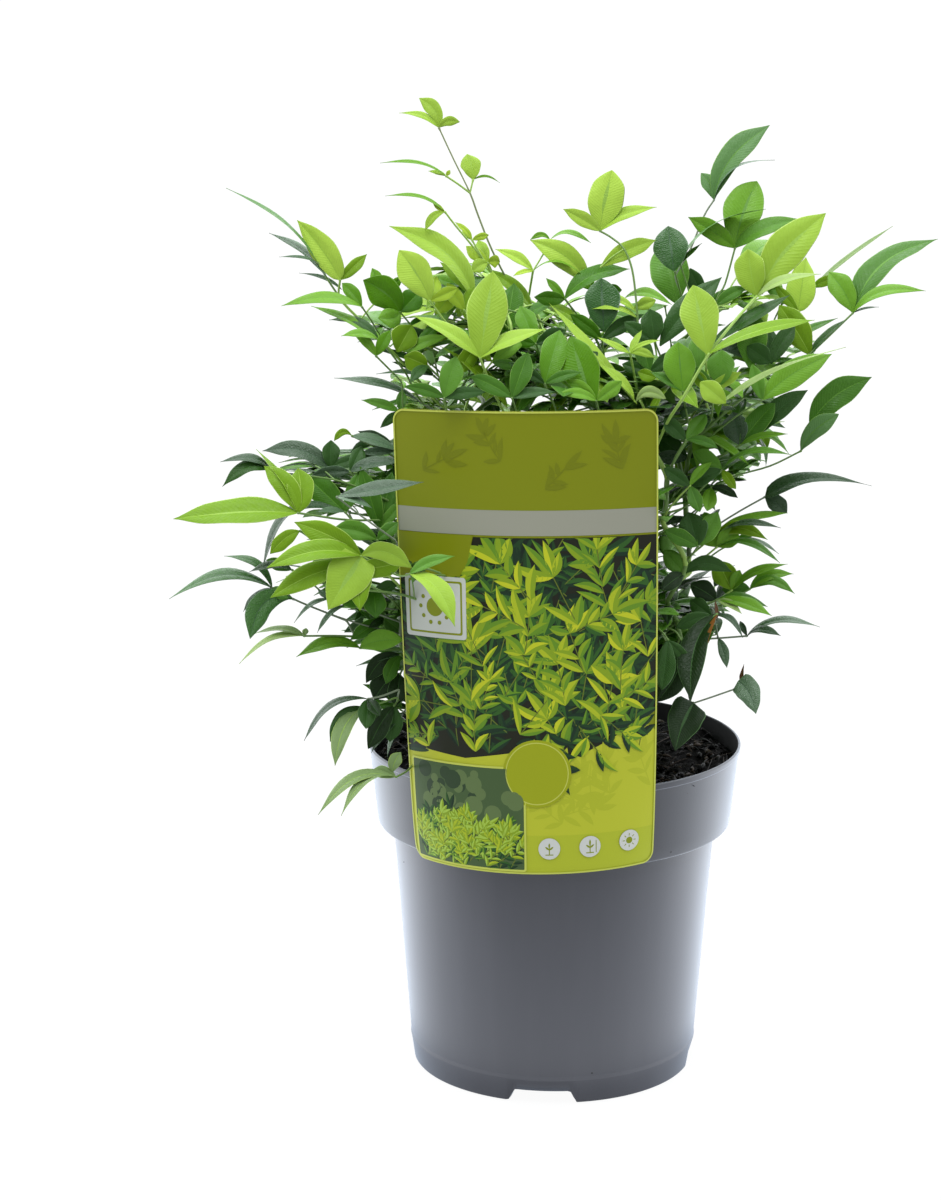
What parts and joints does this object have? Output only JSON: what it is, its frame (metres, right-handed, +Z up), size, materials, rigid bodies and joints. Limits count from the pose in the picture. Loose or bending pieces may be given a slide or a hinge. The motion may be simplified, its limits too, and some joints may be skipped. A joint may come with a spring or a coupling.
{
  "type": "potted heavenly bamboo shrub",
  "caption": "Dwarf evergreen shrub of slender canes and airy pointed leaflets in a round grey nursery pot with a plant label hooked over the rim.",
  "frame": {"origin": "on the ground, on the pot's vertical axis: the middle of the underside of the pot's standing ring", "axes": "+Z up, -Y the front, where the plant label hangs, +X to the right seen from the front"},
  "size_m": [0.372, 0.324, 0.492],
  "materials": {
    "pot_plastic": "dark grey moulded polypropylene, satin, faint scuffs, paler worn lip",
    "compost": "moist dark peat compost with brown bark fibres",
    "card_print": "olive and lime printed plastic plant label with a plain leaf pattern",
    "cane_bark": "brown-green cane with leaf-base scars and fine ridges",
    "leaf_stalk": "smooth green stalk, slightly waxy",
    "foliage": "smooth leathery leaflets, lime when young to dark green, paler below"
  },
  "bodies": {
    "root": {"cane_1": "cane_bark", "cane_2": "cane_bark", "cane_3": "cane_bark", "cane_4": "cane_bark", "cane_5": "cane_bark", "cane_6": "cane_bark", "cane_7": "cane_bark", "cane_8": "cane_bark", "care_card": "card_print", "leaves_back_left": "foliage", "leaves_back_low": "foliage", "leaves_back_middle": "foliage", "leaves_back_right": "foliage", "leaves_back_top": "foliage", "leaves_far_right": "foliage", "leaves_front_left": "foliage", "leaves_front_right": "foliage", "leaves_hanging_left": "foliage", "leaves_hanging_right": "foliage", "leaves_heart": "foliage", "leaves_left_shoulder": "foliage", "leaves_low_left": "foliage", "leaves_low_right": "foliage", "leaves_middle_front": "foliage", "leaves_middle_left": "foliage", "leaves_middle_right": "foliage", "leaves_right_shoulder": "foliage", "leaves_shoot_leaves": "foliage", "leaves_shoot_tip": "foliage", "leaves_top_centre": "foliage", "leaves_top_right": "foliage", "leaves_upper_left": "foliage", "leaves_upper_right": "foliage", "pot": "pot_plastic", "root_ball": "compost", "stalk_back_left": "leaf_stalk", "stalk_back_low": "leaf_stalk", "stalk_back_middle": "leaf_stalk", "stalk_back_right": "leaf_stalk", "stalk_back_top": "leaf_stalk", "stalk_far_right": "leaf_stalk", "stalk_front_left": "leaf_stalk", "stalk_front_right": "leaf_stalk", "stalk_hanging_left": "leaf_stalk", "stalk_hanging_right": "leaf_stalk", "stalk_heart": "leaf_stalk", "stalk_left_shoulder": "leaf_stalk", "stalk_low_left": "leaf_stalk", "stalk_low_right": "leaf_stalk", "stalk_middle_left": "leaf_stalk", "stalk_middle_right": "leaf_stalk", "stalk_right_shoulder": "leaf_stalk", "stalk_top_centre": "leaf_stalk", "stalk_top_right": "leaf_stalk", "stalk_upper_left": "leaf_stalk", "stalk_upper_right": "leaf_stalk", "tall_shoot": "leaf_stalk"}
  },
  "joints": []
}
